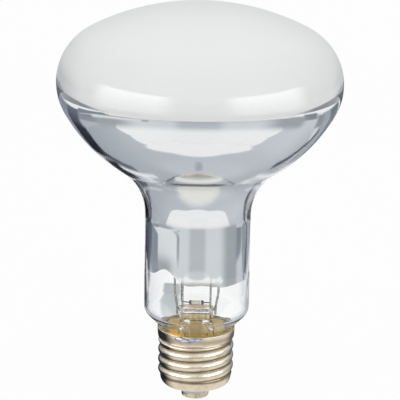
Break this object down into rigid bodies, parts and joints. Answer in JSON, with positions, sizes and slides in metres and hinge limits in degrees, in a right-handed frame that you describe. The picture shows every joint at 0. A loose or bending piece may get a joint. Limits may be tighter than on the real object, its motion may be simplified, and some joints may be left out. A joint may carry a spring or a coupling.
{
  "type": "mercury vapor reflector bulb",
  "caption": "Reflector heat and light bulb for a vivarium: frosted domed crown, mirrored bowl, clear lower neck showing the glass stem, and a plated screw cap with a centre contact.",
  "frame": {"origin": "centre of the flat tip of the centre contact, on the lamp axis", "axes": "+Z along the lamp axis from the contact to the crown; -Y towards the viewer of the picture; +X to the viewer's right"},
  "size_m": [0.096, 0.096, 0.1375],
  "materials": {
    "bulb_glass": "frosted crown, mirrored bowl and upper neck, clear lower neck",
    "stem_glass": "clear",
    "quartz": "clear fused quartz",
    "nickel_wire": "dull drawn wire",
    "tungsten": "dark grey",
    "resistor_body": "pale with dark bands",
    "plated_brass": "nickel-plated brass, lightly tarnished",
    "basing_cement": "baked brown resin cement",
    "insulator_glass": "pale opaque glass",
    "contact_metal": "nickel-plated, tarnished",
    "solder": "dull tin solder"
  },
  "bodies": {
    "root": {"glass_envelope": "bulb_glass", "glass_stem": "stem_glass", "stem_collar": "nickel_wire", "shell_lead": "nickel_wire", "contact_lead": "nickel_wire", "frame_wire_left": "nickel_wire", "frame_wire_right": "nickel_wire", "arc_tube": "quartz", "arc_tube_straps": "nickel_wire", "electrode_lower": "tungsten", "electrode_upper": "tungsten", "starting_probe": "tungsten", "seal_foils": "tungsten", "arc_tube_pins": "tungsten", "ballast_filament": "tungsten", "filament_beads": "stem_glass", "filament_hooks": "tungsten", "filament_link": "nickel_wire", "starting_resistor": "resistor_body", "resistor_caps": "tungsten", "cap_shell": "plated_brass", "cap_cement": "basing_cement", "cap_insulator": "insulator_glass", "centre_contact": "contact_metal", "contact_solder": "solder", "side_solder": "solder"}
  },
  "joints": []
}
